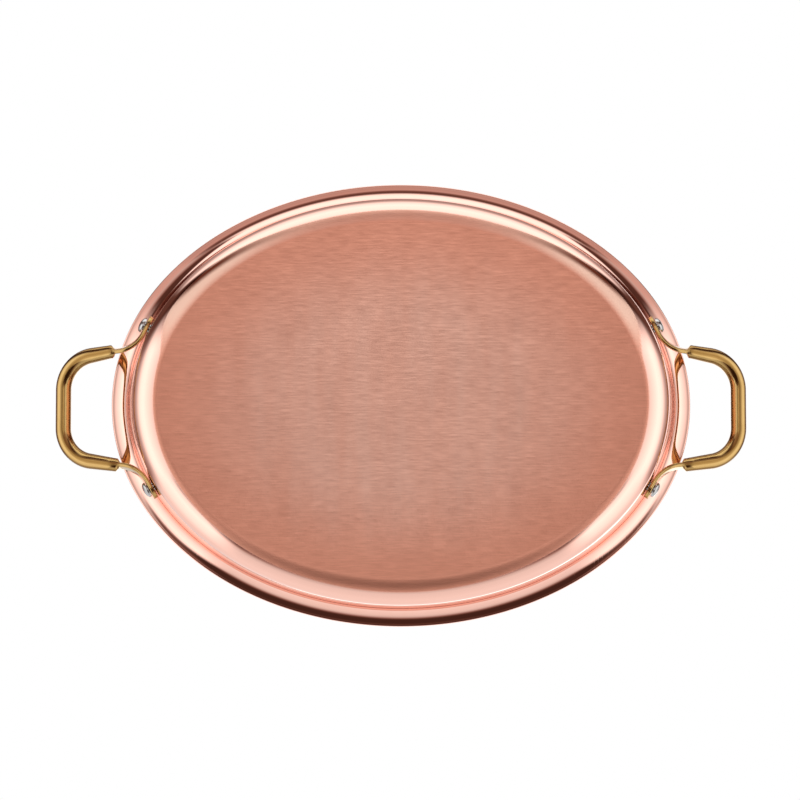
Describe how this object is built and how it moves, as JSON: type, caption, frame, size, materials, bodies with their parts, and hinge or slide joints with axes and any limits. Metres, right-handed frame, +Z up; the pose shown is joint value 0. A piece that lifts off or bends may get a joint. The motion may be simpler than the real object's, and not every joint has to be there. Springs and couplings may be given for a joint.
{
  "type": "oval pan with lid",
  "caption": "Oval copper pan with a flared lip, riveted brass loop handles at both ends and a lift-off domed lid with a brass loop handle.",
  "frame": {"origin": "middle of the flat base, on the surface that the pan stands on", "axes": "+X along the pan towards the right handle, +Y across it towards the back, +Z up towards the lid"},
  "size_m": [0.3566, 0.2294, 0.1013],
  "materials": {
    "pan_copper": "polished outside, straight brushed base, bright tinned inside",
    "lid_copper": "polished outside, bright tinned underneath",
    "handle_brass": "satin",
    "rivet_metal": "satin"
  },
  "bodies": {
    "pan": {"pan_body": "pan_copper", "left_handle": "handle_brass", "right_handle": "handle_brass", "left_front_rivet": "rivet_metal", "left_rear_rivet": "rivet_metal", "right_front_rivet": "rivet_metal", "right_rear_rivet": "rivet_metal"},
    "lid": {"lid_body": "lid_copper", "lid_handle": "handle_brass", "lid_left_rivet": "rivet_metal", "lid_right_rivet": "rivet_metal"}
  },
  "joints": [
    {"name": "lid_lift", "type": "slide", "parent": "pan", "child": "lid", "axis": [0, 0, 1], "range_m": [0, 0.12]}
  ]
}
